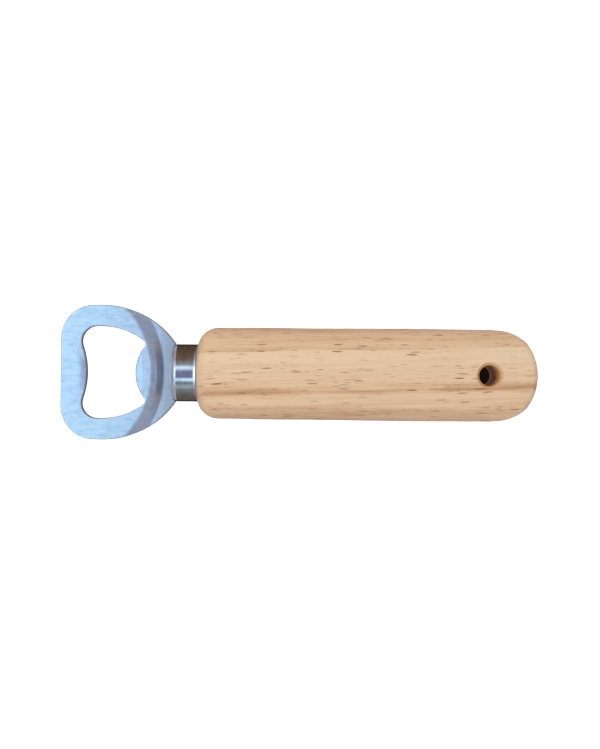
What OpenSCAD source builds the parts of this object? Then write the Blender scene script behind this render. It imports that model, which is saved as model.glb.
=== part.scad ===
// Bottle opener with a pressed steel head, a drawn steel ferrule and a wooden grip.
// The grip lies on its flat underside at z = 0. +X runs from the head to the tail,
// +Z leaves the flat top, and x = 0 is the middle of the overall length.

/* [Overall] */
// Length from the head's front edge to the grip's tail
overall_length = 160; // [140:1:192]

/* [Head] */
// Length from the head's front edge to the ferrule's crown
head_l = 36.6; // [36:0.1:44]
// Widest point of the head
head_w = 45.6; // [40:0.2:55]
// Thickness of the pressed plate
plate_t = 2.8; // [2:0.1:3.4]
// Radius of the two front corners of the head
head_corner_r = 11.4; // [6:0.2:13]
// Distance from the front edge to where the shoulders start to draw in
shoulder_start = 14.4; // [13.2:0.1:16]
// Distance behind the ferrule's crown at which the shoulders meet its side
shoulder_end = 2; // [1.8:0.1:2.6]

/* [Opening] */
// Width of the opening, across the head
opening_w = 31.2; // [28:0.2:34]
// Radius of the opening's two side arcs
side_arc_r = 25; // [22:0.5:30]
// Distance from the front edge to the crown of the side arcs
side_arc_crown = 13.2; // [11:0.1:15]
// Radius of the two rounded lobes beside the lip
lobe_r = 5.15; // [4:0.05:6]
// Distance from the front edge to the tip of the lip that bears on a cap
lip_x = 8.85; // [7.5:0.05:10]
// Radius of the lip
lip_r = 28; // [24:0.5:34]
// Distance from the front edge to the tip of the tongue that hooks a cap
tongue_x = 25.2; // [23.5:0.1:26.5]
// Radius of the tongue
tongue_r = 13.9; // [12:0.1:16]
// Radius of the opening's two corners beside the tongue
corner_r = 1.5; // [1:0.1:2.2]
// Distance from the tongue's tip to the crease that it is bent on
crease_back = 2.7; // [2:0.1:3.2]
// Downward bend of the tongue, in degrees
tongue_bend = 12; // [2:1:18]

/* [Neck step] */
// Height of the ring above the neck
step_h = 3; // [1:0.1:4]
// Run of the step, along a radius from the middle of the front edge
step_run = 4.4; // [4:0.1:7]
// Flat neck between the step and the ferrule's crown
neck_flat = 1.8; // [0.2:0.1:3]

/* [Tang] */
// Width of the tang that runs into the grip
tang_w = 7; // [5:0.5:9]
// Length of the tang past the ferrule's crown
tang_l = 54; // [35:1:60]
// Length of the tang's tapered tip
tang_tip_l = 6; // [3:1:10]

/* [Ferrule] */
// Outside diameter of the ferrule
ferrule_d = 19.6; // [18:0.2:24]
// Wall of the drawn ferrule
ferrule_wall = 0.9; // [0.6:0.1:1.2]
// Length of the ferrule, from its crown to the grip
ferrule_l = 9.6; // [8:0.1:14]
// Radius of the ferrule's crowned closed end
crown_r = 32; // [28:1:40]
// Radius of the rounded edge between crown and wall
ferrule_edge_r = 1.6; // [1.3:0.1:2]

/* [Grip] */
// Turned diameter at the front of the grip
grip_front_d = 31.4; // [30:0.2:38]
// Turned diameter at the tail of the grip
grip_tail_d = 32; // [30:0.2:38]
// Height that the flats of the grip stand above the ferrule
flat_above_ferrule = 1.7; // [0.5:0.1:3]
// Radius turned on the front end
front_round_r = 6.8; // [4:0.1:8]
// Length of the rounded tail
tail_l = 14; // [10:0.5:16]

/* [Hang hole] */
// Diameter of the hang hole
hang_d = 7; // [4:0.5:9]
// Distance from the hang hole's centre to the tail
hang_inset = 16; // [12:0.5:24]
// Width of the bevel round each end of the hang hole
hang_bevel = 0.85; // [0.2:0.05:1.5]

/* [Fits] */
// Gap between the plate's shoulders and the ferrule's crown
shoulder_gap = 0.1; // [0.05:0.05:0.3]
// Gap round the tang in the ferrule's slot
slot_gap = 0.15; // [0.05:0.05:0.3]
// Gap between the ferrule's wall and the grip's spigot
spigot_gap = 0.05; // [0.02:0.01:0.2]
// Depth of adhesive between the ferrule's crown and the spigot
crown_fill = 3.3; // [3:0.1:4]
// Bond line between the adhesive and what it holds
bond_gap = 0.05; // [0.02:0.01:0.1]
// Adhesive outside the tang's corners
glue_side = 0.8; // [0.5:0.1:1.2]
// Adhesive beyond the tang's tip
glue_end = 2; // [1:0.5:5]

/* [Hidden] */
$fn = 96;
ARC_STEP = 5;
OVERRUN = 1;

head_x = -overall_length / 2;
tail_x = overall_length / 2;
crown_x = head_x + head_l;
grip_x = crown_x + ferrule_l;
spigot_x = crown_x + crown_fill;
tang_end_x = crown_x + tang_l;
tang_hole_end_x = tang_end_x + glue_end;
hang_x = tail_x - hang_inset;

ferrule_r = ferrule_d / 2;
spigot_r = ferrule_r - ferrule_wall - spigot_gap;
tang_hole_r = norm([tang_w / 2, plate_t / 2]) + glue_side;
grip_h = ferrule_d + 2 * flat_above_ferrule;
axis_z = grip_h / 2;
crease_x = tongue_x + crease_back;

// Centres of the opening's arcs, for its upper half, measured from the middle of the front edge.
side_c = [side_arc_crown, opening_w / 2 - side_arc_r];
lip_c = [lip_x - lip_r, 0];
tongue_c = [tongue_x + tongue_r, 0];
lobe_c = meet(side_c, side_arc_r - lobe_r, lip_c, lip_r + lobe_r);
corner_c = meet(side_c, side_arc_r - corner_r, tongue_c, tongue_r + corner_r);

// The upper of the two points at distances r1 and r2 from two centres.
function meet(c1, r1, c2, r2) =
    let (d = norm(c2 - c1), u = (c2 - c1) / d, a = (d * d + r1 * r1 - r2 * r2) / (2 * d))
    c1 + a * u + sign(u.x) * sqrt(r1 * r1 - a * a) * [-u.y, u.x];

// Direction from one point to another, in degrees.
function bearing(from, to) = atan2(to.y - from.y, to.x - from.x);

// Points along an arc, from one direction to another.
function arc(c, r, from, to) =
    let (n = max(1, ceil(abs(to - from) / ARC_STEP)))
    [for (i = [0 : n]) let (a = from + (to - from) * i / n) c + r * [cos(a), sin(a)]];

function reversed(list) = [for (i = [len(list) - 1 : -1 : 0]) list[i]];

// A half outline above the X axis, closed by its own mirror image below.
function mirrored(half) = concat(half, [for (p = reversed(half)) if (p.y > 0) [p.x, -p.y]]);

// Upper half of the opening, from the tip of the lip round to the tip of the tongue.
function opening_half() =
    let (lip_a = bearing(lip_c, lobe_c), lobe_a = bearing(side_c, lobe_c))
    let (corner_a = bearing(side_c, corner_c), tongue_a = bearing(tongue_c, corner_c))
    concat(
        arc(lip_c, lip_r, 0, lip_a),
        arc(lobe_c, lobe_r, lip_a + 180, lobe_a),
        arc(side_c, side_arc_r, lobe_a, corner_a),
        arc(corner_c, corner_r, corner_a, tongue_a - 180),
        arc(tongue_c, tongue_r, tongue_a, 180));

// Upper half of the head, from the middle of its front edge to the ferrule's open end.
// The shoulder is the one arc that leaves the widest point level and meets the ferrule's side.
function head_half() =
    let (run = head_l + shoulder_end - shoulder_start, fall = head_w / 2 - ferrule_r)
    let (r = (run * run + fall * fall) / (2 * fall))
    concat(
        [[0, 0]],
        arc([head_corner_r, head_w / 2 - head_corner_r], head_corner_r, 180, 90),
        arc([shoulder_start, head_w / 2 - r], r, 90, acos(run / r)),
        [[head_l + ferrule_l, ferrule_r], [head_l + ferrule_l, 0]]);

// Half profile of the crowned cup, from its axis round to its open end at the grip.
// inset moves the profile inwards, and a negative inset outwards.
function cup_half(inset) =
    let (edge_c = ferrule_r - ferrule_edge_r, c = crown_x + crown_r)
    let (edge_x = c - sqrt(pow(crown_r - ferrule_edge_r, 2) - edge_c * edge_c))
    let (a = atan2(edge_c, c - edge_x))
    concat(
        arc([c, 0], crown_r - inset, 180, 180 - a),
        arc([edge_x, edge_c], ferrule_edge_r - inset, 180 - a, 90),
        [[grip_x, ferrule_r - inset]]);

// Half profile of the bent sheet: flat ring, two arcs down the step, flat neck.
function sheet_profile() =
    let (a = 2 * atan2(step_h, step_run), r = step_run / 2 / sin(a), h = plate_t / 2)
    let (end = head_l - neck_flat, start = end - step_run, reach = head_l + tang_l + OVERRUN)
    concat(
        [[0, step_h + h]],
        arc([start, step_h - r], r + h, 90, 90 - a),
        arc([end, r], r - h, 270 - a, 270),
        [[reach, h], [reach, -h]],
        arc([end, r], r + h, 270, 270 - a),
        arc([start, step_h - r], r - h, 90 - a, 90),
        [[0, step_h - h]]);

// Half profile of the turned blank: spigot, rounded front end, slow taper out to the tail.
function blank_profile() =
    let (front_r = grip_front_d / 2)
    concat(
        [[spigot_x, 0], [spigot_x, spigot_r], [grip_x, spigot_r]],
        arc([grip_x + front_round_r, front_r - front_round_r], front_round_r, 180, 90),
        [[tail_x, grip_tail_d / 2], [tail_x, 0]]);

// Half profile of the adhesive: the ferrule's crown, then the rod round the tang.
function glue_profile() =
    let (face_x = spigot_x - bond_gap, rod_r = tang_hole_r - bond_gap)
    let (rod_end_x = tang_hole_end_x - bond_gap)
    concat(
        [for (p = cup_half(ferrule_wall + bond_gap)) if (p.x < face_x) p],
        [[face_x, spigot_r], [face_x, rod_r], [rod_end_x, rod_r], [rod_end_x, 0]]);

// Turns a half profile about the grip's axis.
module turned(profile) {
    translate([0, 0, axis_z])
        rotate([0, 90, 0])
            rotate_extrude()
                polygon([for (p = profile) [p.y, p.x]]);
}

module tang_plan(gap) {
    w = tang_w / 2 + gap;
    start = crown_x - shoulder_gap - OVERRUN;
    tip = tang_end_x + gap;
    polygon([
        [start, -w], [tip - tang_tip_l, -w], [tip, -w / 2],
        [tip, w / 2], [tip - tang_tip_l, w], [start, w]]);
}

// The tang and its surrounding gap, as the slot or pocket that it needs.
module tang_space(gap) {
    translate([0, 0, axis_z - plate_t / 2 - gap])
        linear_extrude(plate_t + 2 * gap)
            tang_plan(gap);
}

module ring_plan() {
    difference() {
        translate([head_x, 0])
            polygon(mirrored(head_half()));
        translate([head_x, 0])
            polygon(mirrored(opening_half()));
        polygon(mirrored(concat(cup_half(-shoulder_gap), [[grip_x, 0]])));
    }
}

// The tongue lies between its tip and the crease, inside the opening's two corners.
module tongue_plan() {
    intersection() {
        ring_plan();
        translate([head_x + tongue_x - OVERRUN, -corner_c.y])
            square([crease_back + OVERRUN, 2 * corner_c.y]);
    }
}

module flat_plan() {
    difference() {
        union() {
            ring_plan();
            tang_plan(0);
        }
        tongue_plan();
    }
}

module bent_tongue() {
    translate([head_x + crease_x, 0, axis_z + step_h + plate_t / 2])
        rotate([0, -tongue_bend, 0])
            translate([-head_x - crease_x, 0, -plate_t])
                linear_extrude(plate_t)
                    tongue_plan();
}

module opener_head() {
    color("lightsteelblue") {
        intersection() {
            translate([head_x, 0, axis_z])
                rotate_extrude()
                    polygon(sheet_profile());
            translate([0, 0, axis_z - plate_t])
                linear_extrude(step_h + 2 * plate_t)
                    flat_plan();
        }
        bent_tongue();
    }
}

module ferrule() {
    color("silver")
        difference() {
            turned(concat(cup_half(0), reversed(cup_half(ferrule_wall))));
            tang_space(slot_gap);
        }
}

// Plan of the grip: straight sides and a tail rounded to half an ellipse.
module grip_plan() {
    half_w = grip_tail_d / 2;
    front_x = spigot_x - OVERRUN;
    tail = [for (a = [90 : -ARC_STEP : -90]) [tail_x - tail_l + tail_l * cos(a), half_w * sin(a)]];
    polygon(concat([[front_x, half_w]], tail, [[front_x, -half_w]]));
}

module hang_hole() {
    translate([hang_x, 0, -OVERRUN])
        cylinder(d = hang_d, h = grip_h + 2 * OVERRUN);
    for (end = [0, 1])
        translate([hang_x, 0, end * grip_h])
            mirror([0, 0, end])
                translate([0, 0, -OVERRUN])
                    cylinder(
                        r1 = hang_d / 2 + hang_bevel + OVERRUN,
                        r2 = hang_d / 2,
                        h = hang_bevel + OVERRUN);
}

module grip() {
    color("burlywood")
        difference() {
            intersection() {
                turned(blank_profile());
                linear_extrude(grip_h)
                    grip_plan();
            }
            translate([spigot_x - OVERRUN, 0, axis_z])
                rotate([0, 90, 0])
                    cylinder(r = tang_hole_r, h = tang_hole_end_x - spigot_x + OVERRUN);
            hang_hole();
        }
}

// Fills the ferrule's crown in front of the spigot, and the drilled hole round the tang.
module tang_adhesive() {
    color("khaki")
        difference() {
            turned(glue_profile());
            tang_space(bond_gap);
        }
}

opener_head();
ferrule();
grip();
tang_adhesive();
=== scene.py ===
"""A bottle opener: a pressed steel head, a drawn steel ferrule and a turned and planed wooden grip.

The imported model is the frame. Every size below is in millimetres in the head's or the grip's own
terms, and each finished mesh is placed from the frame's boxes and turned into metres.
"""

import enum
import logging
import math
from collections.abc import Sequence
from dataclasses import dataclass

import bmesh
import bpy
from bmesh.types import BMEdge, BMesh, BMFace, BMVert
from mathutils import Euler, Matrix, Vector, noise


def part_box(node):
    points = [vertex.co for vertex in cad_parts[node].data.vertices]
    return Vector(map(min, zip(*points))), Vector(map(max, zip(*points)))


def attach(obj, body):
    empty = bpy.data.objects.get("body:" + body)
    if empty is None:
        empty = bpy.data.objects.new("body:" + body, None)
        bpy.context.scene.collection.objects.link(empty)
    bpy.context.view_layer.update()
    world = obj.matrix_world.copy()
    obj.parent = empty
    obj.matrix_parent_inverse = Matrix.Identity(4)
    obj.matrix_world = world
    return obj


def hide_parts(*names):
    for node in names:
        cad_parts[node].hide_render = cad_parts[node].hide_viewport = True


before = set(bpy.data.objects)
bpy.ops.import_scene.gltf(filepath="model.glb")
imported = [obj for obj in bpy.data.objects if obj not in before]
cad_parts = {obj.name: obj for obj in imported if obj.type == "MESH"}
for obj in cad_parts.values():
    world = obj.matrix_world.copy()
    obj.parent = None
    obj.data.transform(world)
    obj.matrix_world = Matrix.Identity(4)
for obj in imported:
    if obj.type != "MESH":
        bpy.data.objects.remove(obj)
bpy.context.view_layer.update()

MM = 0.001
TINY = 1e-5
FULL_TURN = 2 * math.pi
CREASE = 35.0

Colour = tuple[float, float, float]
Socket = bpy.types.NodeSocket
Value = Socket | float | Sequence[float]

log = logging.getLogger("opener")


class Slot(enum.Enum):
    """The record's material slots."""

    HEAD = "head_steel"
    FERRULE = "ferrule_steel"
    GRIP = "grip_wood"
    ADHESIVE = "adhesive"


class Node(enum.Enum):
    """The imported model's nodes."""

    HEAD = "opener_head"
    FERRULE = "ferrule"
    GRIP = "grip"
    ADHESIVE = "tang_adhesive"


def box_mm(node: Node) -> tuple[Vector, Vector]:
    """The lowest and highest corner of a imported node, in millimetres.

    Args:
        node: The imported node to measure.

    Returns:
        The two corners.
    """
    low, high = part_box(node.value)
    return low / MM, high / MM


def tone(red: int, green: int, blue: int) -> Colour:
    """Turns a colour picked on a screen scale of 0 to 255 into linear light.

    Args:
        red: Red share.
        green: Green share.
        blue: Blue share.

    Returns:
        The three linear shares, from 0 to 1.
    """
    shares = [channel / 255 for channel in (red, green, blue)]
    return tuple(s / 12.92 if s <= 0.04045 else ((s + 0.055) / 1.055) ** 2.4 for s in shares)


# ---------------------------------------------------------------- plane geometry


def meet(first: Vector, first_r: float, second: Vector, second_r: float) -> Vector:
    """Finds the upper of the two points at given distances from two centres.

    Args:
        first: The first centre.
        first_r: The distance from the first centre.
        second: The second centre.
        second_r: The distance from the second centre.

    Returns:
        The point.
    """
    apart = second - first
    along = apart.normalized()
    run = (apart.length_squared + first_r**2 - second_r**2) / (2 * apart.length)
    rise = math.copysign(math.sqrt(first_r**2 - run**2), along.x)
    return first + run * along + rise * Vector((-along.y, along.x))


def bearing(start: Vector, end: Vector) -> float:
    """The direction from one point to another, in degrees."""
    return math.degrees(math.atan2(end.y - start.y, end.x - start.x))


def arc(centre: Vector, radius: float, start: float, end: float) -> list[Vector]:
    """Walks along an arc in steps of about a degree.

    Args:
        centre: The arc's centre.
        radius: Its radius.
        start: The direction of its first point, in degrees.
        end: The direction of its last point, in degrees.

    Returns:
        The points, both ends included.
    """
    steps = max(2, round(abs(end - start)))
    turns = [math.radians(start + (end - start) * i / steps) for i in range(steps + 1)]
    return [centre + radius * Vector((math.cos(t), math.sin(t))) for t in turns]


def paced(path: Sequence[Vector], steps: int) -> list[Vector]:
    """Walks along a path in equal steps.

    Args:
        path: The path's points.
        steps: How many steps to take.

    Returns:
        One point for each step, from the path's start and without its end.
    """
    lengths = [(b - a).length for a, b in zip(path, path[1:])]
    stride = sum(lengths) / steps
    points, leg, behind = [], 0, 0.0
    for step in range(steps):
        while leg < len(lengths) - 1 and behind + lengths[leg] < step * stride:
            behind += lengths[leg]
            leg += 1
        share = (step * stride - behind) / lengths[leg]
        points.append(path[leg].lerp(path[leg + 1], share))
    return points


def soft_limit(value: float, limit: float, blend: float) -> float:
    """Holds a value under a limit, and rounds off the corner where it meets it.

    Args:
        value: The value, zero or more.
        limit: The most that it may reach.
        blend: How far on each side of the limit the rounding runs.

    Returns:
        The held value.
    """
    share = min(1.0, max(0.0, 0.5 + 0.5 * (limit - value) / blend))
    return limit + (value - limit) * share - blend * share * (1 - share)


# ---------------------------------------------------------------- mesh tools


def new_piece(
    name: str, mesh: BMesh, node: Node, crease: float = CREASE
) -> bpy.types.Object:
    """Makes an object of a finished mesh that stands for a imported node.

    Args:
        name: The piece's name.
        mesh: The mesh in metres, in the frame; it is freed.
        node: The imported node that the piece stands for.
        crease: The angle past which an edge stays sharp, in degrees.

    Returns:
        The object, which rides on the root body.
    """
    data = bpy.data.meshes.new(name)
    mesh.to_mesh(data)
    mesh.free()
    piece = bpy.data.objects.new(name, data)
    bpy.context.scene.collection.objects.link(piece)
    smooth(piece, crease)
    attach(piece, "root")
    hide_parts(node.value)
    return piece


def smooth(piece: bpy.types.Object, crease: float) -> None:
    """Shades a piece smooth up to an edge angle of crease degrees."""
    piece.data.shade_smooth()
    piece.data.set_sharp_from_angle(angle=math.radians(crease))


def carve(piece: bpy.types.Object, cutter: BMesh, crease: float = CREASE) -> None:
    """Cuts a closed shape out of a piece.

    Args:
        piece: The piece to cut.
        cutter: The shape to take away, in metres; it is freed.
        crease: The angle past which an edge of the result stays sharp, in degrees.
    """
    data = bpy.data.meshes.new("cutter")
    cutter.to_mesh(data)
    cutter.free()
    tool = bpy.data.objects.new("cutter", data)
    bpy.context.scene.collection.objects.link(tool)
    cut = piece.modifiers.new("cut", "BOOLEAN")
    cut.operation = "DIFFERENCE"
    cut.solver = "EXACT"
    cut.object = tool
    graph = bpy.context.evaluated_depsgraph_get()
    result = bpy.data.meshes.new_from_object(piece.evaluated_get(graph))
    result.name = piece.name
    piece.modifiers.clear()
    piece.data = result
    bpy.data.objects.remove(tool)
    smooth(piece, crease)


def lathe(profile: Sequence[Vector], axis: Vector, steps: int) -> BMesh:
    """Spins a half profile about an axis through the origin.

    Args:
        profile: Points (distance along the axis, radius), from end to end.
        axis: The unit axis, X or Z.
        steps: How many sides the turned shape has.

    Returns:
        The closed turned mesh, in the profile's own units.
    """
    mesh = bmesh.new()
    side = Vector((0, 1, 0))
    points = [mesh.verts.new(p.x * axis + p.y * side) for p in profile]
    edges = [mesh.edges.new(pair) for pair in zip(points, points[1:])]
    bmesh.ops.spin(
        mesh,
        geom=points + edges,
        cent=(0, 0, 0),
        axis=axis,
        angle=FULL_TURN,
        steps=steps,
        use_merge=True,
    )
    bmesh.ops.remove_doubles(mesh, verts=mesh.verts, dist=TINY)
    bmesh.ops.recalc_face_normals(mesh, faces=mesh.faces)
    return mesh


def place(mesh: BMesh, origin: Vector) -> BMesh:
    """Turns a mesh in millimetres into metres, with its own zero at a point of the frame.

    Args:
        mesh: The mesh.
        origin: Where its zero goes, in millimetres.

    Returns:
        The same mesh.
    """
    matrix = Matrix.Scale(MM, 4) @ Matrix.Translation(origin)
    bmesh.ops.transform(mesh, matrix=matrix, verts=mesh.verts)
    return mesh


# ---------------------------------------------------------------- materials


class Surface:
    """One procedural material, built node by node, with coordinates in millimetres."""

    def __init__(self, name: str) -> None:
        """Starts a material with its object coordinates scaled to millimetres.

        Args:
            name: The material's name.
        """
        self.material = bpy.data.materials.new(name)
        self.material.use_nodes = True
        self.tree = self.material.node_tree
        self.shader = self.tree.nodes["Principled BSDF"]
        where = self.tree.nodes.new("ShaderNodeTexCoord").outputs["Object"]
        self.place = self.mapped(where, scale=(1 / MM,) * 3)

    @classmethod
    def of_tree(cls, tree: bpy.types.NodeTree) -> "Surface":
        """Works on a node tree that isn't a material's."""
        surface = cls.__new__(cls)
        surface.tree = tree
        return surface

    def add(self, kind: str, inputs: dict[str | int, Value], **settings: object) -> bpy.types.Node:
        """Adds a node.

        Args:
            kind: The node's type name, without its prefix.
            inputs: What goes into its sockets, by name or number.
            **settings: The node's own settings.

        Returns:
            The node.
        """
        node = self.tree.nodes.new("ShaderNode" + kind)
        for setting, choice in settings.items():
            setattr(node, setting, choice)
        for key, value in inputs.items():
            self.feed(node.inputs[key], value)
        return node

    def feed(self, socket: Socket, value: Value) -> None:
        """Links a socket to another, or sets its value."""
        if isinstance(value, bpy.types.NodeSocket):
            self.tree.links.new(value, socket)
        else:
            is_colour = socket.type == "RGBA" and len(value) == 3
            socket.default_value = (*value, 1) if is_colour else value

    def mapped(
        self,
        vector: Value,
        scale: Sequence[float] = (1, 1, 1),
        turn: float = 0,
        shift: Sequence[float] = (0, 0, 0),
    ) -> Socket:
        """Scales, turns and shifts coordinates.

        Args:
            vector: The coordinates.
            scale: The scale on each axis.
            turn: The turn about Z, in degrees.
            shift: The shift on each axis.

        Returns:
            The mapped coordinates.
        """
        inputs = {"Vector": vector, "Location": shift, "Scale": scale}
        inputs["Rotation"] = (0, 0, math.radians(turn))
        return self.add("Mapping", inputs).outputs[0]

    def stretched(self, vector: Value, lengths: Sequence[float], seed: float = 0) -> Socket:
        """Coordinates in which one unit is a given length on each axis.

        Args:
            vector: The coordinates in millimetres.
            lengths: The three lengths, in millimetres.
            seed: A shift that makes the pattern another one.

        Returns:
            The new coordinates.
        """
        return self.mapped(vector, scale=[1 / x for x in lengths], shift=(seed, seed, seed))

    def math(self, operation: str, first: Value, second: Value = 0.0, third: Value = 0.0) -> Socket:
        """Does sums on one to three numbers."""
        inputs = {0: first, 1: second, 2: third}
        return self.add("Math", inputs, operation=operation).outputs[0]

    def fit(
        self, value: Value, low: float, high: float, to_low: float = 0, to_high: float = 1
    ) -> Socket:
        """Maps a range onto another with a smooth start and end.

        Args:
            value: The number.
            low: Where the range starts.
            high: Where it ends.
            to_low: What its start becomes.
            to_high: What its end becomes.

        Returns:
            The mapped number.
        """
        inputs = {0: value, 1: low, 2: high, 3: to_low, 4: to_high}
        return self.add("MapRange", inputs, interpolation_type="SMOOTHSTEP").outputs[0]

    def noise(self, vector: Value, detail: float = 2, roughness: float = 0.5) -> Socket:
        """Soft noise, about 0.5 on the whole."""
        inputs = {"Vector": vector, "Scale": 1, "Detail": detail, "Roughness": roughness}
        return self.add("TexNoise", inputs).outputs["Fac"]

    def cells(self, vector: Value) -> tuple[Socket, Socket]:
        """Scattered points: the distance to the nearest, and a random number of its own."""
        node = self.add("TexVoronoi", {"Vector": vector, "Scale": 1})
        chance = self.add("SeparateColor", {0: node.outputs["Color"]}).outputs[0]
        return node.outputs["Distance"], chance

    def blend(self, share: Value, first: Value, second: Value, how: str = "MIX") -> Socket:
        """Mixes two colours.

        Args:
            share: How much of the second one to take.
            first: The first colour.
            second: The second colour.
            how: The way of mixing.

        Returns:
            The mixed colour.
        """
        inputs = {0: share, 6: first, 7: second}
        return self.add("Mix", inputs, data_type="RGBA", blend_type=how).outputs[2]

    def ramp(self, share: Value, stops: Sequence[tuple[float, Colour]]) -> Socket:
        """Turns a number into a colour.

        Args:
            share: The number, from 0 to 1.
            stops: Places from 0 to 1, each with its colour.

        Returns:
            The colour.
        """
        node = self.add("ValToRGB", {0: share})
        elements = node.color_ramp.elements
        while len(elements) < len(stops):
            elements.new(1)
        for element, (position, colour) in zip(elements, stops):
            element.position = position
            element.color = (*colour, 1)
        return node.outputs[0]

    def bump(self, height: Value, depth: float, normal: Value | None = None) -> Socket:
        """Tilts the surface by a height map.

        Args:
            height: The height, from 0 to 1.
            depth: What a height of 1 stands for, in millimetres.
            normal: An earlier bump to build on.

        Returns:
            The new normal.
        """
        inputs = {"Height": height, "Distance": depth * MM, "Strength": 1}
        if normal is not None:
            inputs["Normal"] = normal
        return self.add("Bump", inputs).outputs[0]

    def dress(self, **sockets: Value) -> bpy.types.Material:
        """Feeds the shader's sockets, whose names are given with underscores for spaces."""
        for name, value in sockets.items():
            self.feed(self.shader.inputs[name.replace("_", " ")], value)
        return self.material


@dataclass(frozen=True)
class SatinSteel:
    """Pressed steel plate, tumbled and brushed along its length."""

    cool: Colour = tone(201, 216, 229)
    violet: Colour = tone(199, 209, 229)
    dark: Colour = tone(168, 180, 200)
    pit: Colour = tone(112, 122, 146)
    scuff: Colour = tone(146, 152, 186)
    # painted shade: the darker grey the plate turns where it meets the ferrule
    ferrule_shade: Colour = tone(172, 172, 180)
    roughness: float = 0.34
    stroke: tuple[float, float, float] = (10, 0.42, 0.42)
    stroke_depth: float = 0.007
    pit_depth: float = 0.03
    ferrule_shade_span: tuple[float, float] = (-50, -43)
    lip: tuple[float, float, float] = (-99.15, 0, 0)
    lip_r: float = 28
    scuff_w: float = 4.5

    def material(self) -> bpy.types.Material:
        """Makes the material."""
        s = Surface("satin_steel")
        strokes = s.noise(s.stretched(s.place, self.stroke), detail=3, roughness=0.6)
        clouds = s.noise(s.stretched(s.place, (13, 13, 13), seed=5), detail=3, roughness=0.6)
        drift = s.noise(s.stretched(s.place, (3, 1.6, 3), seed=7), detail=4, roughness=0.65)
        base = s.blend(s.fit(clouds, 0.3, 0.7), self.violet, self.cool)
        share = s.math("ADD", s.fit(strokes, 0.3, 0.7, 0, 0.45), s.fit(drift, 0.32, 0.62, 0, 0.6))
        colour = s.blend(s.math("SUBTRACT", 0.84, share), base, self.dark)
        near, chance = s.cells(s.stretched(s.place, (2.6, 1.5, 3), seed=2))
        pits = s.math("MULTIPLY", s.fit(near, 0.14, 0.04), s.fit(chance, 0.62, 0.7))
        colour = s.blend(s.math("MULTIPLY", pits, 0.55), colour, self.pit)
        colour = s.blend(self.scuffs(s), colour, self.scuff)
        axes = s.add("SeparateXYZ", {0: s.place}).outputs
        # Painted shade: towards the ferrule the plate is blended into a darker grey, broken up by
        # the drift noise.
        ferrule_shade_share = s.fit(drift, 0.25, 0.6, 0.5, 0.95)
        ferrule_shade_share = s.math("MULTIPLY", s.fit(axes[0], *self.ferrule_shade_span), ferrule_shade_share)
        colour = s.blend(ferrule_shade_share, colour, self.ferrule_shade)
        rough = s.math("MULTIPLY_ADD", drift, 0.14, self.roughness - 0.07)
        normal = s.bump(strokes, self.stroke_depth)
        normal = s.bump(s.math("MULTIPLY", pits, -1.0), self.pit_depth, normal)
        return s.dress(Base_Color=colour, Metallic=1.0, Roughness=rough, Normal=normal)

    def scuffs(self, s: Surface) -> Socket:
        """Marks that cap edges leave across the plate beside the lip.

        Args:
            s: The material.

        Returns:
            How much of a mark shows, from 0 to 1.
        """
        flat = s.add("VectorMath", {0: s.place, 1: (1, 1, 0)}, operation="MULTIPLY").outputs[0]
        gap = s.add("VectorMath", {0: flat, 1: self.lip}, operation="DISTANCE").outputs[1]
        axes = s.add("SeparateXYZ", {0: s.place}).outputs
        beside = s.fit(gap, self.lip_r - self.scuff_w, self.lip_r - 0.6)
        beside = s.math("MULTIPLY", beside, s.fit(s.math("ABSOLUTE", axes[1]), 14, 8))
        beside = s.math("MULTIPLY", beside, s.fit(axes[0], -62, -66))
        marks = s.noise(s.stretched(s.place, (0.5, 4, 4), seed=3), detail=4, roughness=0.7)
        return s.math("MULTIPLY", beside, s.fit(marks, 0.4, 0.68, 0.06, 0.5))


@dataclass(frozen=True)
class PolishedSteel:
    """Drawn steel, polished on the lathe, with faint rings and handling marks."""

    light: Colour = tone(226, 228, 232)
    dark: Colour = tone(206, 208, 212)
    roughness: float = 0.07
    ring_depth: float = 0.0004
    scratch_depth: float = 0.0003

    def material(self) -> bpy.types.Material:
        """Makes the material."""
        s = Surface("polished_steel")
        rings = s.noise(s.stretched(s.place, (0.12, 30, 30)), detail=3, roughness=0.7)
        smears = s.noise(s.stretched(s.place, (2.5, 4, 4), seed=3), detail=4)
        colour = s.blend(s.fit(smears, 0.35, 0.65), self.dark, self.light)
        rough = s.math("MULTIPLY_ADD", smears, 0.08, self.roughness - 0.04)
        scratches = s.noise(s.stretched(s.place, (5, 0.1, 0.1), seed=8), detail=2)
        normal = s.bump(rings, self.ring_depth)
        normal = s.bump(scratches, self.scratch_depth, normal)
        return s.dress(Base_Color=colour, Metallic=1.0, Roughness=rough, Normal=normal)


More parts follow.
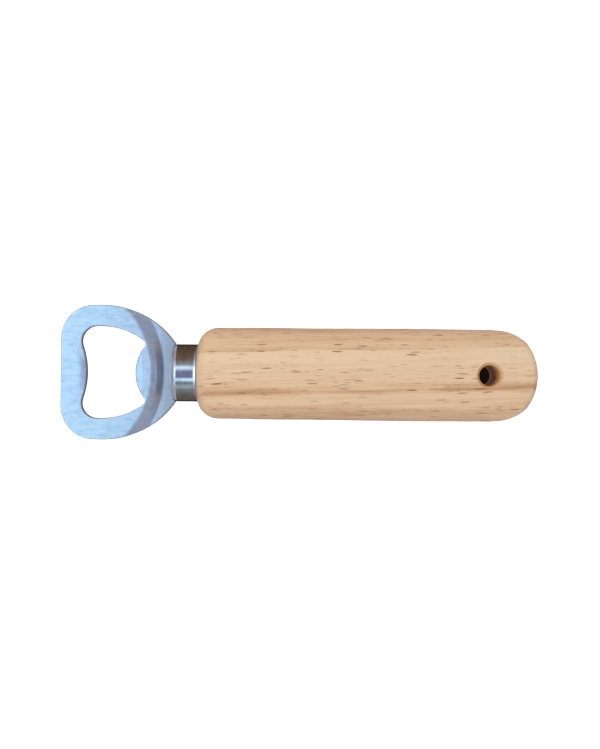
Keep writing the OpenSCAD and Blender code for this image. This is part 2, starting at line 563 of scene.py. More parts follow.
@dataclass(frozen=True)
class OpenGrainWood:
    """Pale open-grained wood: slow growth bands, fine fibres and short red-brown vessels."""

    light: Colour = tone(222, 191, 157)
    middle: Colour = tone(210, 174, 139)
    dark: Colour = tone(182, 138, 104)
    vessel: Colour = tone(140, 78, 50)
    # the front end's tone: end grain, and painted sheen of the light falling on it
    end_grain_and_sheen: Colour = tone(192, 166, 138)
    rasped: Colour = tone(198, 152, 104)
    bored: Colour = tone(205, 162, 118)
    streak: tuple[float, float, float] = (46, 0.9, 0.9)
    fibre: tuple[float, float, float] = (14, 0.3, 0.3)
    fine_vessel: tuple[float, float, float] = (4.6, 0.5, 0.5)
    coarse_vessel: tuple[float, float, float] = (8, 0.9, 0.9)
    plain_band: Colour = (0.78, 0.78, 0.78)
    fibre_depth: float = 0.03
    vessel_depth: float = 0.09
    gloss: float = 0.35
    grain_slope: float = -1.6
    front_x: float = -33.8
    end_l: float = 4
    hole: tuple[float, float, float] = (64, 0, 0)
    hole_r: float = 3.5
    rasped_w: float = 1.0
    pith: tuple[float, float, float] = (0, 75, 5)
    top_z: float = 23
    half_band: float = 20
    bands: tuple[tuple[float, float], ...] = (
        (-20, 0.5), (-16, 0.6), (-13, 0.4), (-10.6, 0.55), (-9.2, 0.75), (-7.8, 0.62), (-7, 0.25),
        (-6.3, -0.1), (-5.5, 0.2), (-4.4, 0.45), (-3.2, 0.6), (-2, 0.75), (0, 0.78), (2, 0.88),
        (4, 1), (6.5, 1), (7.0, 0.3), (7.6, 0.22), (8.4, 0.5), (9.6, 0.55), (10.5, 0.4),
        (11.3, 0.6), (13, 0.65), (15, 0.4), (20, 0.7),
    )

    def material(self) -> bpy.types.Material:
        """Makes the material."""
        s = Surface("open_grain_wood")
        grain = s.mapped(s.place, turn=self.grain_slope)
        sway = s.noise(s.stretched(grain, (80, 16, 16)), detail=1)
        ripple = s.noise(s.stretched(grain, (24, 4, 4), seed=4), detail=2)
        shift = s.math("MULTIPLY_ADD", sway, 3.0, s.math("MULTIPLY_ADD", ripple, 0.9, -1.95))
        offset = s.add("CombineXYZ", {1: shift}).outputs[0]
        grain = s.add("VectorMath", {0: grain, 1: offset}, operation="ADD").outputs[0]
        flat = s.add("VectorMath", {0: grain, 1: (0, 1, 1)}, operation="MULTIPLY").outputs[0]
        radius = s.add("VectorMath", {0: flat, 1: self.pith}, operation="DISTANCE").outputs[1]
        reach = math.hypot(self.pith[1], self.top_z - self.pith[2])
        ring = s.math("SUBTRACT", reach, radius)
        share = s.math("MULTIPLY_ADD", ring, 0.5 / self.half_band, 0.5)
        stops = [(0.5 + 0.5 * mm / self.half_band, (v, v, v)) for mm, v in self.bands]
        band = s.ramp(share, stops)
        fade = s.fit(s.noise(s.stretched(grain, (26, 3, 3), seed=9), detail=2), 0.3, 0.6, 0.35, 1)
        band = s.blend(fade, self.plain_band, band)
        streaks = s.noise(s.stretched(grain, self.streak, seed=1), detail=3, roughness=0.6)
        fibres = s.noise(s.stretched(grain, self.fibre, seed=7), detail=3, roughness=0.6)
        band = s.math("ADD", band, s.math("MULTIPLY_ADD", streaks, 1.1, -0.55))
        band = s.math("ADD", band, s.math("MULTIPLY_ADD", fibres, 0.6, -0.3))
        colour = s.ramp(band, [(0, self.dark), (0.5, self.middle), (1, self.light)])
        patches = s.noise(s.stretched(grain, (22, 1.5, 1.5), seed=6), detail=2)
        crowd = s.math("ADD", s.fit(patches, 0.42, 0.66), s.fit(band, 0.75, 0.3, 0, 0.6))
        crowd = s.math("MINIMUM", crowd, 1.0)
        fine = self.vessels(s, grain, self.fine_vessel, 11, 0.2)
        coarse = self.vessels(s, grain, self.coarse_vessel, 12, 0.3)
        fine = s.math("MULTIPLY", fine, s.math("MULTIPLY_ADD", crowd, 0.6, 0.12))
        coarse = s.math("MULTIPLY", coarse, s.math("MULTIPLY_ADD", crowd, 0.75, 0.15))
        colour = s.blend(s.math("MULTIPLY", fine, 0.7), colour, self.vessel)
        colour = s.blend(coarse, colour, self.vessel)
        colour = self.cut_faces(s, colour, fibres)
        pores = s.math("MAXIMUM", fine, coarse)
        rough = s.math("MULTIPLY_ADD", streaks, 0.16, 0.44)
        rough = s.math("MULTIPLY_ADD", pores, 0.15, rough)
        normal = s.bump(fibres, self.fibre_depth)
        normal = s.bump(s.math("SUBTRACT", 1.0, pores), self.vessel_depth, normal)
        return s.dress(
            Base_Color=colour, Roughness=rough, Normal=normal, Specular_IOR_Level=self.gloss
        )

    def cut_faces(self, s: Surface, colour: Socket, fibres: Socket) -> Socket:
        """Greys the front end, as its end grain and as painted sheen, and browns the drilled and
        rasped wood of the hole.

        Args:
            s: The material.
            colour: The wood's colour.
            fibres: The fibre pattern.

        Returns:
            The new colour.
        """
        axes = s.add("SeparateXYZ", {0: s.place}).outputs
        # End grain and painted sheen: the wood turns greyer towards the front end.
        front = s.fit(axes[0], self.front_x + self.end_l, self.front_x, 0, 0.7)
        colour = s.blend(front, colour, self.end_grain_and_sheen)
        level = s.add("VectorMath", {0: s.place, 1: (1, 1, 0)}, operation="MULTIPLY").outputs[0]
        radius = s.add("VectorMath", {0: level, 1: self.hole}, operation="DISTANCE").outputs[1]
        radius = s.math("ADD", radius, s.math("MULTIPLY_ADD", fibres, 0.4, -0.2))
        rim = self.hole_r + self.rasped_w
        colour = s.blend(s.fit(radius, rim, rim - 0.25, 0, 0.8), colour, self.rasped)
        return s.blend(s.fit(radius, self.hole_r + 0.2, self.hole_r), colour, self.bored)

    @staticmethod
    def vessels(
        s: Surface, grain: Socket, size: Sequence[float], seed: float, rare: float
    ) -> Socket:
        """Spindle-shaped vessels cut open by the surface.

        Args:
            s: The material.
            grain: Coordinates along the grain, in millimetres.
            size: The spacing of the vessels on each axis, in millimetres.
            seed: A shift that makes the pattern another one.
            rare: The share of the vessels that don't show, from 0 to 1.

        Returns:
            How much of a vessel shows, from 0 to 1.
        """
        near, chance = s.cells(s.stretched(grain, size, seed))
        shown = s.fit(chance, rare, rare + 0.25)
        return s.math("MULTIPLY", s.fit(near, 0.3, 0.16), shown)


@dataclass(frozen=True)
class CuredEpoxy:
    """Amber two-part adhesive, with cloudy patches and small bubbles."""

    clear: Colour = tone(196, 168, 104)
    cloudy: Colour = tone(214, 194, 142)

    def material(self) -> bpy.types.Material:
        """Makes the material."""
        s = Surface("cured_epoxy")
        cloud = s.noise(s.stretched(s.place, (3, 3, 3)), detail=3)
        near, _ = s.cells(s.stretched(s.place, (1.4, 1.4, 1.4)))
        bubbles = s.fit(near, 0.22, 0.12)
        colour = s.blend(s.fit(cloud, 0.35, 0.65), self.clear, self.cloudy)
        rough = s.math("MULTIPLY_ADD", cloud, 0.2, 0.2)
        normal = s.bump(s.math("SUBTRACT", 1.0, bubbles), 0.05)
        return s.dress(Base_Color=colour, Roughness=rough, Normal=normal)


# ---------------------------------------------------------------- pieces


@dataclass
class OpenerHead:
    """The pressed plate: a ring with a lip and a bent tongue, a stepped neck, and a tang."""

    length: float = 36.6
    width: float = 45.6
    thickness: float = 2.8
    front_corner_r: float = 11.4
    shoulder_start: float = 14.4
    shoulder_end: float = 2
    opening_w: float = 31.2
    side_r: float = 25
    side_crown: float = 13.2
    lobe_r: float = 5.15
    lip_x: float = 8.85
    lip_r: float = 28
    tongue_x: float = 25.2
    tongue_r: float = 13.9
    corner_r: float = 1.5
    crease_back: float = 2.7
    tongue_bend: float = 12
    step_h: float = 3
    step_run: float = 4.4
    step_slope: float = 48
    neck_flat: float = 1.8
    tang_w: float = 7
    tang_l: float = 54
    tang_tip_l: float = 6
    crown_r: float = 32
    ferrule_edge_r: float = 1.6
    shoulder_gap: float = 0.1
    rim_r: float = 0.32
    shoulder_split: float = 52
    horn: float = 115
    rows: int = 60
    crease_half: float = 0.16
    crease_depth: float = 0.07
    coined_w: float = 2.6
    coined_depth: float = 0.16

    def __post_init__(self) -> None:
        """Reads the ferrule's radius and the plate's place from the frame."""
        low, high = box_mm(Node.FERRULE)
        self.ferrule_r = (high.y - low.y) / 2
        self.origin = Vector((box_mm(Node.HEAD)[0].x, 0, (low.z + high.z) / 2))

    def opening_half(self) -> list[Vector]:
        """Upper half of the opening, from the lip's tip round to the tongue's.

        Returns:
            The points, both ends included.
        """
        side = Vector((self.side_crown, self.opening_w / 2 - self.side_r))
        lip = Vector((self.lip_x - self.lip_r, 0))
        tongue = Vector((self.tongue_x + self.tongue_r, 0))
        lobe = meet(side, self.side_r - self.lobe_r, lip, self.lip_r + self.lobe_r)
        corner = meet(side, self.side_r - self.corner_r, tongue, self.tongue_r + self.corner_r)
        lip_a, lobe_a = bearing(lip, lobe), bearing(side, lobe)
        corner_a, tongue_a = bearing(side, corner), bearing(tongue, corner)
        self.corner_y = corner.y
        self.lip_centre = lip
        return [
            *paced(arc(lip, self.lip_r, 0, lip_a), 14),
            *paced(arc(lobe, self.lobe_r, lip_a + 180, lobe_a), 26),
            *paced(arc(side, self.side_r, lobe_a, corner_a), 36),
            *paced(arc(corner, self.corner_r, corner_a, tongue_a - 180), 14),
            *paced(arc(tongue, self.tongue_r, tongue_a, 180), 24),
            Vector((self.tongue_x, 0)),
        ]

    def outline_half(self) -> list[Vector]:
        """Upper half of the plate's outline, from its front edge to the ferrule's crown.

        Returns:
            As many points as opening_half() has, each facing its partner across the ring.
        """
        half_w = self.width / 2
        run = self.length + self.shoulder_end - self.shoulder_start
        fall = half_w - self.ferrule_r
        r = (run**2 + fall**2) / (2 * fall)
        front = Vector((self.front_corner_r, half_w - self.front_corner_r))
        shoulder = Vector((self.shoulder_start, half_w - r))
        edge_y = self.ferrule_r - self.ferrule_edge_r
        crown = Vector((self.length + self.crown_r, 0))
        edge_x = crown.x - math.sqrt((self.crown_r - self.ferrule_edge_r) ** 2 - edge_y**2)
        edge = Vector((edge_x, edge_y))
        edge_a = bearing(crown, edge)
        edge_arc = arc(edge, self.ferrule_edge_r + self.shoulder_gap, self.horn, edge_a)
        crown_r = self.crown_r + self.shoulder_gap
        tang_a = 180 - math.degrees(math.asin(self.tang_w / 2 / crown_r))
        widest = arc(shoulder, r, 90, self.shoulder_split)
        last = arc(shoulder, r, self.shoulder_split, math.degrees(math.acos(run / r)))
        return [
            *paced([Vector((0, 0)), Vector((0, front.y))], 14),
            *paced(arc(front, self.front_corner_r, 180, 90), 26),
            *paced([Vector((front.x, half_w)), *widest], 36),
            *paced([*last[:-1], edge_arc[0]], 14),
            *paced([*edge_arc, *arc(crown, crown_r, edge_a, tang_a)], 16),
            *paced(arc(crown, crown_r, tang_a, 180), 8),
            Vector((self.length - self.shoulder_gap, 0)),
        ]

    def sheet_z(self, radius: float, height: float) -> float:
        """Height of the pressed sheet.

        Args:
            radius: The distance from the middle of the front edge.
            height: The point's height in the flat sheet, from its middle.

        Returns:
            The point's height above the neck's mid-plane.
        """
        slope = math.radians(self.step_slope)
        sine, cosine = math.sin(slope), math.cos(slope)
        bend_r = (self.step_run * sine - self.step_h * cosine) / (2 - 2 * cosine)
        end = self.length - self.neck_flat
        start = end - self.step_run
        leave = start + (bend_r + height) * sine
        if radius <= start:
            return self.step_h + height
        if radius <= leave:
            fall = math.sqrt((bend_r + height) ** 2 - (radius - start) ** 2)
            return self.step_h - bend_r + fall
        if radius <= end - (bend_r - height) * sine:
            top = self.step_h - bend_r + (bend_r + height) * cosine
            return top - (radius - leave) * sine / cosine
        if radius <= end:
            return bend_r - math.sqrt((bend_r - height) ** 2 - (end - radius) ** 2)
        return height

    def blank(self) -> BMesh:
        """The flat ring with rounded rims and rows of faces across it.

        Returns:
            The mesh in millimetres, with the front edge at x = 0 and its mid-plane at z = 0.
        """
        upper, facing = self.outline_half(), self.opening_half()
        turned = [
            [*half, *(Vector((p.x, -p.y)) for p in half[-2:0:-1])] for half in (upper, facing)
        ]
        mesh = bmesh.new()
        top = self.thickness / 2
        outline = [mesh.verts.new((p.x, p.y, top)) for p in turned[0]]
        loop = [mesh.edges.new(pair) for pair in zip(outline, outline[1:] + outline[:1])]
        partner = {tuple(v.co): p for v, p in zip(outline, turned[1])}
        grown = bmesh.ops.extrude_edge_only(mesh, edges=loop)["geom"]
        for vert in [g for g in grown if isinstance(g, BMVert)]:
            inner = partner[tuple(vert.co)]
            vert.co = (inner.x, inner.y, top)
        grown = bmesh.ops.extrude_face_region(mesh, geom=mesh.faces[:], use_keep_orig=True)["geom"]
        under = [g for g in grown if isinstance(g, BMVert)]
        bmesh.ops.translate(mesh, verts=under, vec=(0, 0, -self.thickness))
        bmesh.ops.recalc_face_normals(mesh, faces=mesh.faces)
        rims = [e for e in mesh.edges if self.is_rim(e) and not self.faces_crown(e)]
        bmesh.ops.bevel(
            mesh,
            geom=rims,
            offset=self.rim_r,
            offset_type="OFFSET",
            segments=4,
            profile=0.5,
            affect="EDGES",
            clamp_overlap=True,
            material=-1,
        )
        across = [e for e in mesh.edges if self.is_across(e)]
        bmesh.ops.subdivide_edges(mesh, edges=across, cuts=self.rows, use_grid_fill=True)
        return mesh

    @staticmethod
    def is_rim(edge: BMEdge) -> bool:
        """Says whether an edge is between a face of the sheet and its sheared wall."""
        level = abs(edge.verts[0].co.z - edge.verts[1].co.z) < TINY
        return level and edge.calc_face_angle(0) > math.radians(60)

    def faces_crown(self, edge: BMEdge) -> bool:
        """Says whether an edge is on the cut that follows the ferrule's crown."""
        crown = Vector((self.length + self.crown_r, 0))
        reach = self.crown_r + 2 * self.shoulder_gap
        return all((v.co.xy - crown).length < reach for v in edge.verts)

    def is_across(self, edge: BMEdge) -> bool:
        """Says whether an edge runs across the ring on its top or its underside."""
        flat = all(abs(abs(v.co.z) - self.thickness / 2) < TINY for v in edge.verts)
        return flat and edge.calc_length() > 10 * self.rim_r

    def draw_tang(self, mesh: BMesh) -> None:
        """Pulls the tang out of the plate's end at the ferrule."""
        reach = self.tang_w / 2 + TINY
        root = [
            f
            for f in mesh.faces
            if f.normal.x > 0.3
            and f.calc_center_median().x > self.length - self.neck_flat
            and all(abs(v.co.y) <= reach for v in f.verts)
        ]
        for end, share in ((self.tang_l - self.tang_tip_l, 1.0), (self.tang_l, 0.5)):
            grown = bmesh.ops.extrude_face_region(mesh, geom=root)["geom"]
            bmesh.ops.delete(mesh, geom=root, context="FACES")
            for vert in [g for g in grown if isinstance(g, BMVert)]:
                vert.co.x = self.length + end
                vert.co.y *= share
            root = [g for g in grown if isinstance(g, BMFace)]

    def bend_tongue(self, mesh: BMesh) -> None:
        """Presses a crease across the tongue and bends its tip down."""
        crease = self.tongue_x + self.crease_back
        region = [
            f
            for f in mesh.faces
            if abs(f.calc_center_median().x - crease) < self.crease_back + 1
            and abs(f.calc_center_median().y) < self.corner_y
        ]
        for offset in (-self.crease_half, 0, self.crease_half):
            parts = {e for f in region for e in f.edges} | {v for f in region for v in f.verts}
            cut = bmesh.ops.bisect_plane(
                mesh,
                geom=[*region, *parts],
                dist=TINY,
                plane_co=(crease + offset, 0, 0),
                plane_no=(1, 0, 0),
            )
            region = [g for g in cut["geom"] if isinstance(g, BMFace)]
        fall = math.tan(math.radians(self.tongue_bend))
        for vert in {v for f in region for v in f.verts}:
            if vert.co.z > 0 and abs(vert.co.x - crease) < TINY:
                vert.co.z -= self.crease_depth
            elif vert.co.x < crease and abs(vert.co.y) < self.corner_y:
                vert.co.z -= (crease - vert.co.x) * fall

    def coin_lip(self, mesh: BMesh) -> None:
        """Eases the lip's edge down, as its die leaves it."""
        for vert in mesh.verts:
            inside = self.lip_r - (vert.co.xy - self.lip_centre).length
            if vert.co.x > 2 * self.lip_x or not 0 <= inside + self.rim_r < self.coined_w:
                continue
            share = 1 - max(0.0, inside) / self.coined_w
            fade = soft_limit(abs(vert.co.y) / self.lobe_r, 1, 0.5)
            vert.co.z -= self.coined_depth * share**2 * (1 - fade**4)

    def build(self, finish: SatinSteel) -> bpy.types.Object:
        """Makes the head.

        Args:
            finish: Its steel.

        Returns:
            The finished piece.
        """
        mesh = self.blank()
        mesh.normal_update()
        self.draw_tang(mesh)
        pressed = {v: self.sheet_z(v.co.xy.length, v.co.z) - v.co.z for v in mesh.verts}
        for vert, lift in pressed.items():
            vert.co.z += lift
        level = Vector((0, 0, self.step_h))
        bmesh.ops.translate(mesh, verts=mesh.verts, vec=-level)
        self.bend_tongue(mesh)
        self.coin_lip(mesh)
        bmesh.ops.translate(mesh, verts=mesh.verts, vec=level)
        bmesh.ops.recalc_face_normals(mesh, faces=mesh.faces)
        piece = new_piece("head_plate", place(mesh, self.origin), Node.HEAD)
        piece.data.materials.append(finish.material())
        return piece


@dataclass
class Ferrule:
    """The drawn cup between plate and grip, with a crowned closed end and a slot for the tang."""

    wall: float = 0.9
    crown_r: float = 32
    edge_r: float = 1.6
    mouth_l: float = 1.4
    mouth_flare: float = 0.05
    lip_r: float = 0.2
    slot_w: float = 7.3
    slot_h: float = 3.1
    mouth_rows: int = 8
    sides: int = 160

    def __post_init__(self) -> None:
        """Reads the cup's radius, length and place from the frame, and places its edge's arc."""
        low, high = box_mm(Node.FERRULE)
        self.radius = (high.y - low.y) / 2
        self.length = high.x - low.x
        self.origin = Vector((low.x, 0, (low.z + high.z) / 2))
        edge_y = self.radius - self.edge_r
        self.side_start = self.crown_r - math.sqrt((self.crown_r - self.edge_r) ** 2 - edge_y**2)
        self.edge_centre = Vector((self.side_start, edge_y))

    def cup_half(self, inset: float) -> list[Vector]:
        """Half profile of the closed end.

        Args:
            inset: How far inside the outer face it runs.

        Returns:
            Points (distance along the axis, radius), from the axis to the start of the side.
        """
        edge, crown = self.edge_centre, Vector((self.crown_r, 0))
        edge_a = bearing(crown, edge)
        return [
            *paced(arc(crown, self.crown_r - inset, 180, edge_a), 10),
            *paced(arc(edge, self.edge_r - inset, edge_a, 90), 14),
        ]

    def mouth_half(self) -> list[Vector]:
        """Half profile of the open end, which flares a little where it meets the grip."""
        first = self.side_start
        last = self.length - self.lip_r - self.mouth_l
        plain = (first, first + 0.15, first + 0.6, (first + last) / 2, last - 0.6, last - 0.15)
        side = [Vector((x, self.radius - self.mouth_flare)) for x in plain]
        for step in range(self.mouth_rows + 1):
            share = step / self.mouth_rows
            x = self.length - self.lip_r - self.mouth_l * (1 - share)
            side.append(Vector((x, self.radius - self.mouth_flare * (1 - share**2))))
        centre = Vector((self.length - self.lip_r, side[-1].y - self.lip_r))
        return [*side, *paced(arc(centre, self.lip_r, 80, 0), 4)]

    def build(self, finish: PolishedSteel) -> bpy.types.Object:
        """Makes the ferrule.

        Args:
            finish: Its steel.

        Returns:
            The finished piece.
        """
        inner_r = self.radius - self.wall
        inner = [*self.cup_half(self.wall), Vector((2 * self.wall + self.edge_r, inner_r))]
        inner.append(Vector((self.length, inner_r)))
        slimmer = 1 - self.mouth_flare / self.radius
        outer = [Vector((p.x, p.y * slimmer)) for p in self.cup_half(0)]
        profile = [*outer, *self.mouth_half(), *reversed(inner)]
        mesh = place(lathe(profile, Vector((1, 0, 0)), self.sides), self.origin)
        piece = new_piece("ferrule_cup", mesh, Node.FERRULE)
        slot = bmesh.new()
        bmesh.ops.create_cube(slot, size=1)
        size = Vector((2 * self.edge_r + 2 * self.wall, self.slot_w, self.slot_h))
        bmesh.ops.scale(slot, vec=size, verts=slot.verts)
        carve(piece, place(slot, self.origin))
        piece.data.materials.append(finish.material())
        return piece


@dataclass
class Grip:
    """The wooden grip: turned, planed flat above and below, and sanded soft at every edge."""

    front_d: float = 31.4
    tail_d: float = 32
    spigot_r: float = 8.85
    spigot_l: float = 6.3
    bore_r: float = 4.57
    bore_end: float = 46.4
    front_round_r: float = 6.8
    tail_l: float = 14
    hang_d: float = 7
    hang_inset: float = 16
    hang_bevel: float = 0.95
    hang_soft: float = 0.2
    edge_blend: float = 0.42
    tail_blend: float = 1.1
    tail_edge_r: float = 1.3
    sanding: float = 0.3
    waves: tuple[tuple[float, float, float], ...] = ((1, 17, 25), (0.5, 6, 12))
    merge_l: float = 0.004
    side_rows: int = 40
    tail_rows: int = 44
    sides: int = 256

    def __post_init__(self) -> None:
        """Reads the grip's length, height and place from the frame."""
        low, high = box_mm(Node.GRIP)
        start = box_mm(Node.FERRULE)[1].x
        self.length = high.x - start
        self.half_h = (high.z - low.z) / 2
        self.origin = Vector((start, 0, self.half_h))
        self.tail_start = self.length - self.tail_l

    def blank_half(self) -> list[Vector]:
        """Half profile of the turned blank, with its bore and its spigot.

        Returns:
            Points (distance behind the ferrule, radius), open at the tail.
        """
        front_r, tail_r = self.front_d / 2, self.tail_d / 2
        centre = Vector((self.front_round_r, front_r - self.front_round_r))
        taper = (tail_r - front_r) / (self.length - self.front_round_r)
        side_l = self.tail_start - self.front_round_r
        side = [self.front_round_r + side_l * i / self.side_rows for i in range(self.side_rows)]
        turns = [math.pi / 2 * (1 - i / self.tail_rows) for i in range(self.tail_rows + 1)]
        tail = [self.tail_start + self.tail_l * math.cos(turn) for turn in turns]
        return [
            Vector((self.bore_end, 0)),
            Vector((self.bore_end, self.bore_r)),
            Vector((-self.spigot_l, self.bore_r)),
            Vector((-self.spigot_l, self.spigot_r)),
            Vector((0, self.spigot_r)),
            *paced(arc(centre, self.front_round_r, 180, 90), 26),
            *(Vector((x, front_r + taper * (x - self.front_round_r))) for x in side + tail),
        ]

    def plane_flats(self, point: Vector) -> Vector:
        """Takes a point of the turned blank to where planing and sanding leave it.

        Args:
            point: The point on the blank, with z = 0 on its axis.

        Returns:
            The point on the finished grip.
        """
        side = abs(point.y)
        wave = 0.0
        for share, along_l, across_l in self.waves:
            spot = Vector((point.x / along_l, side / across_l, point.z / across_l))
            wave += share * noise.noise(spot)
        loss = self.sanding * (0.5 + 0.5 * max(-1.0, min(1.0, wave)))
        is_outside = point.x > 0 and point.yz.length > self.spigot_r
        size = 1 - loss / point.yz.length if is_outside else 1.0
        turned = Vector((point.x, *(point.yz * size)))
        height = soft_limit(abs(turned.z), self.half_h, self.edge_blend)
        if point.x <= self.tail_start:
            return Vector((point.x, turned.y, math.copysign(height, point.z)))
        edge_r = self.tail_edge_r
        rise = min(edge_r, max(0.0, abs(turned.z) - (self.half_h - edge_r)))
        inset = edge_r - math.sqrt(edge_r**2 - rise**2)
        along = (point.x - self.tail_start) / self.tail_l
        limit = (self.tail_d / 2 - inset) * math.sqrt(max(0.0, 1 - along**2))
        across = 0.0
        if limit > TINY:
            across = soft_limit(abs(turned.y), limit, self.tail_blend * min(1.0, limit))
        x = self.tail_start + (self.tail_l - inset) * along
        return Vector((x, math.copysign(max(0.0, across), point.y), math.copysign(height, point.z)))

    def hole(self) -> BMesh:
        """The hang hole with its eased ends, as the shape to cut away."""
        r, wide, soft, over = self.hang_d / 2, self.hang_bevel, self.hang_soft, 2.0
        steps = (
            (-wide - soft, 0), (-wide, soft / 4), (soft - wide, soft),
            (-soft, wide - soft), (0, wide + soft / 4), (over, wide + over), (over, -r),
        )
        top = [Vector((self.half_h + along, r + out)) for along, out in steps]
        under = [Vector((-p.x, p.y)) for p in reversed(top)]
        mesh = lathe([*under, *top], Vector((0, 0, 1)), 96)
        centre = Vector((self.length - self.hang_inset, 0, 0))
        return place(mesh, self.origin + centre)

    def build(self, finish: OpenGrainWood) -> bpy.types.Object:
        """Makes the grip.

        Args:
            finish: Its wood.

        Returns:
            The finished piece.
        """
        mesh = lathe(self.blank_half(), Vector((1, 0, 0)), self.sides)
        for vert in mesh.verts:
            vert.co = self.plane_flats(vert.co)
        bmesh.ops.remove_doubles(mesh, verts=mesh.verts, dist=self.merge_l)
        bmesh.ops.recalc_face_normals(mesh, faces=mesh.faces)
        piece = new_piece("wood_grip", place(mesh, self.origin), Node.GRIP)
        carve(piece, self.hole(), crease=30)
        piece.data.materials.append(finish.material())
        return piece


# ---------------------------------------------------------------- studio


@dataclass(frozen=True)
class SoftLight:
    """A rectangular light that faces the object."""

    name: str
    place: tuple[float, float, float]
    size: tuple[float, float]
    radiance: float
    colour: Colour

    def build(self) -> None:
        """Hangs the light, which polished faces don't mirror."""
        data = bpy.data.lights.new(self.name, "AREA")
        data.shape = "RECTANGLE"
        data.size, data.size_y = self.size
        data.energy = self.radiance * math.pi * data.size * data.size_y
        data.color = self.colour
        light = bpy.data.objects.new(self.name, data)
        light.location = self.place
        light.rotation_euler = Vector(self.place).to_track_quat("Z", "Y").to_euler()
        light.visible_camera = False
        light.visible_glossy = False
        bpy.context.scene.collection.objects.link(light)


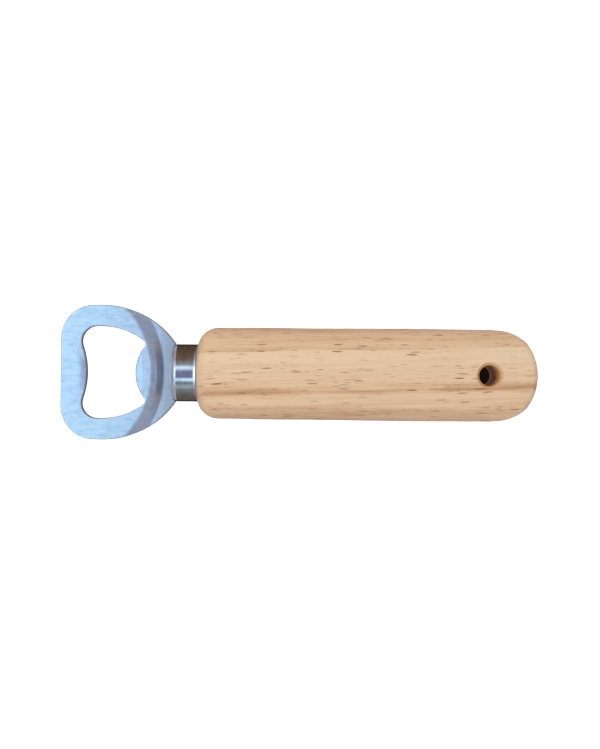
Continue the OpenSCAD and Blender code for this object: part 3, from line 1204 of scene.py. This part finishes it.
@dataclass
class Studio:
    """A pale sweep under soft light, and the camera.

    The strips are directions round the X axis, in degrees, with the light from each. An edge is
    the pair of heights or distances along X between which one part of the room fades to another.
    """

    camera_place: tuple[float, float, float] = (0.00093, -0.00018, 0.3904)
    camera_turn: float = 0.546
    lens: float = 53.3
    sensor: float = 36
    floor_r: float = 1.2
    floor_sides: int = 96
    floor: Colour = (0.92, 0.92, 0.92)
    floor_glow: float = 0.6
    # painted shadow: the floor's near-black colour under the grip
    grip_shadow: Colour = (0.02, 0.015, 0.01)
    shade: Colour = (0.012, 0.012, 0.016)
    far_side: Colour = (0.48, 0.48, 0.55)
    window: Colour = (1.64, 2.3, 2.56)
    window_low: Colour = (0.8, 1.05, 1.25)
    sill: Colour = (0.5, 0.44, 0.5)
    window_edge: tuple[float, float] = (-0.145, -0.2)
    low_edge: tuple[float, float] = (0.97, 0.84)
    sill_edge: tuple[float, float] = (0.8, 0.45)
    far_edge: tuple[float, float] = (-0.07, 0.1)
    shade_edge: tuple[float, float] = (-0.75, -0.92)
    strips: tuple[tuple[float, Colour], ...] = (
        (-150, (0.1, 0.085, 0.07)),
        (-104, (0.154, 0.134, 0.114)),
        (-71, (0.21, 0.25, 0.27)),
        (-57, (0.42, 0.48, 0.5)),
        (-48, (0.3, 0.36, 0.4)),
        (-41, (0.17, 0.22, 0.28)),
        (-34, (0.4, 0.55, 0.7)),
        (-29, (0.85, 1.1, 1.35)),
        (-24, (0.7, 0.95, 1.25)),
        (-18, (0.2, 0.21, 0.34)),
        (5, (0.2, 0.21, 0.34)),
        (13, (0.5, 0.6, 0.8)),
        (20, (0.9, 1.1, 1.3)),
        (26, (0.65, 0.8, 0.95)),
        (33, (0.3, 0.33, 0.35)),
        (42, (0.25, 0.24, 0.24)),
        (56, (0.19, 0.12, 0.1)),
        (97, (0.13, 0.082, 0.052)),
        (150, (0.08, 0.05, 0.035)),
    )
    lights: tuple[SoftLight, ...] = (
        SoftLight("ceiling", (-0.5, 0.1, 0.95), (1.3, 1.3), 1.65, (0.92, 0.83, 0.7)),
        SoftLight("side_back", (0, 0.6, 0.14), (0.6, 0.2), 2.6, (0.93, 0.84, 0.7)),
        SoftLight("side_front", (0, -0.6, 0.14), (0.6, 0.2), 2.6, (0.93, 0.88, 0.76)),
    )

    def build_camera(self) -> None:
        """Sets the camera above the object."""
        data = bpy.data.cameras.new("camera")
        data.lens = self.lens
        data.sensor_width = self.sensor
        data.clip_start = 0.01
        camera = bpy.data.objects.new("camera", data)
        camera.location = self.camera_place
        camera.rotation_euler = Euler((0, 0, math.radians(self.camera_turn)))
        bpy.context.scene.collection.objects.link(camera)
        bpy.context.scene.camera = camera

    def build_sweep(self) -> None:
        """Lays the floor, which curves up into a wall far from the object."""
        bend = self.floor_r / 2
        cove = arc(Vector((bend, bend)), bend, 180, 90)
        profile = [Vector((0, 0)), Vector((0, bend)), *cove[::6]]
        mesh = lathe(profile, Vector((0, 0, 1)), self.floor_sides)
        data = bpy.data.meshes.new("sweep")
        bmesh.ops.reverse_faces(mesh, faces=mesh.faces)
        mesh.to_mesh(data)
        mesh.free()
        data.shade_smooth()
        sweep = bpy.data.objects.new("sweep", data)
        sweep.visible_glossy = False
        sweep.visible_diffuse = False
        bpy.context.scene.collection.objects.link(sweep)
        s = Surface("pale_floor")
        grit = s.noise(s.stretched(s.place, (2, 2, 2)), detail=3)
        # Painted shadow: under the grip the floor turns near black and stops glowing.
        data.materials.append(
            s.dress(
                Base_Color=s.blend(self.grip_shadow_mask(s), self.floor, self.grip_shadow),
                Roughness=s.math("MULTIPLY_ADD", grit, 0.2, 0.6),
                Emission_Color=(1.0, 1.0, 1.0),
                Emission_Strength=self.glow(s),
            )
        )

    @staticmethod
    def grip_shadow_mask(s: Surface) -> Socket:
        """Where painted shadow darkens the floor under the grip, from 0 to 1."""
        low, high = box_mm(Node.GRIP)
        axes = s.add("SeparateXYZ", {0: s.place}).outputs
        across = s.fit(s.math("ABSOLUTE", axes[1]), 0.6 * high.y, 0.3 * high.y)
        along = s.fit(axes[0], high.x - 5, high.x - 8)
        return s.math("MULTIPLY", s.math("MULTIPLY", across, along), s.fit(axes[0], low.x, 0))

    def glow(self, s: Surface) -> Socket:
        """How much the lit floor glows: evenly, but not in the painted shadow under the grip."""
        return s.math("MULTIPLY_ADD", self.grip_shadow_mask(s), -self.floor_glow, self.floor_glow)

    def build_world(self) -> None:
        """Shades the room: strips across the ceiling, a window ahead and a grey wall behind."""
        world = bpy.data.worlds.new("room")
        world.use_nodes = True
        bpy.context.scene.world = world
        s = Surface.of_tree(world.node_tree)
        where = s.add("TexCoord", {}).outputs["Generated"]
        x, y, z = s.add("SeparateXYZ", {0: where}).outputs
        around = s.math("MULTIPLY_ADD", s.math("ARCTAN2", y, z), 1 / FULL_TURN, 0.5)
        stops = [(0.5 + degrees / 360, colour) for degrees, colour in self.strips]
        room = s.ramp(around, stops)
        room = s.blend(s.fit(x, *self.far_edge), room, self.far_side)
        window = s.blend(s.fit(z, *self.low_edge), self.window, self.window_low)
        window = s.blend(s.fit(z, *self.sill_edge), window, self.sill)
        room = s.blend(s.fit(x, *self.window_edge), room, window)
        room = s.blend(s.fit(z, *self.shade_edge), room, self.shade)
        s.tree.links.new(room, world.node_tree.nodes["Background"].inputs[0])

    def build(self) -> None:
        """Makes everything round the object."""
        self.build_camera()
        self.build_sweep()
        self.build_world()
        for light in self.lights:
            light.build()
        bpy.context.scene.view_settings.view_transform = "Standard"


def report(piece: bpy.types.Object) -> None:
    """Logs a finished piece's name, faces and size."""
    size = [f"{side / MM:.2f}" for side in piece.dimensions]
    log.info("%s: %d faces, %s mm", piece.name, len(piece.data.polygons), " x ".join(size))


def main() -> None:
    """Builds the studio and the object."""
    logging.basicConfig(level=logging.INFO, format="%(name)s %(message)s")
    Studio().build()
    report(OpenerHead().build(SatinSteel()))
    report(Ferrule().build(PolishedSteel()))
    report(Grip().build(OpenGrainWood()))
    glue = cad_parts[Node.ADHESIVE.value]
    glue.data.materials.clear()
    glue.data.materials.append(CuredEpoxy().material())
    report(glue)
    bpy.context.view_layer.update()


if __name__ == "__main__":
    main()
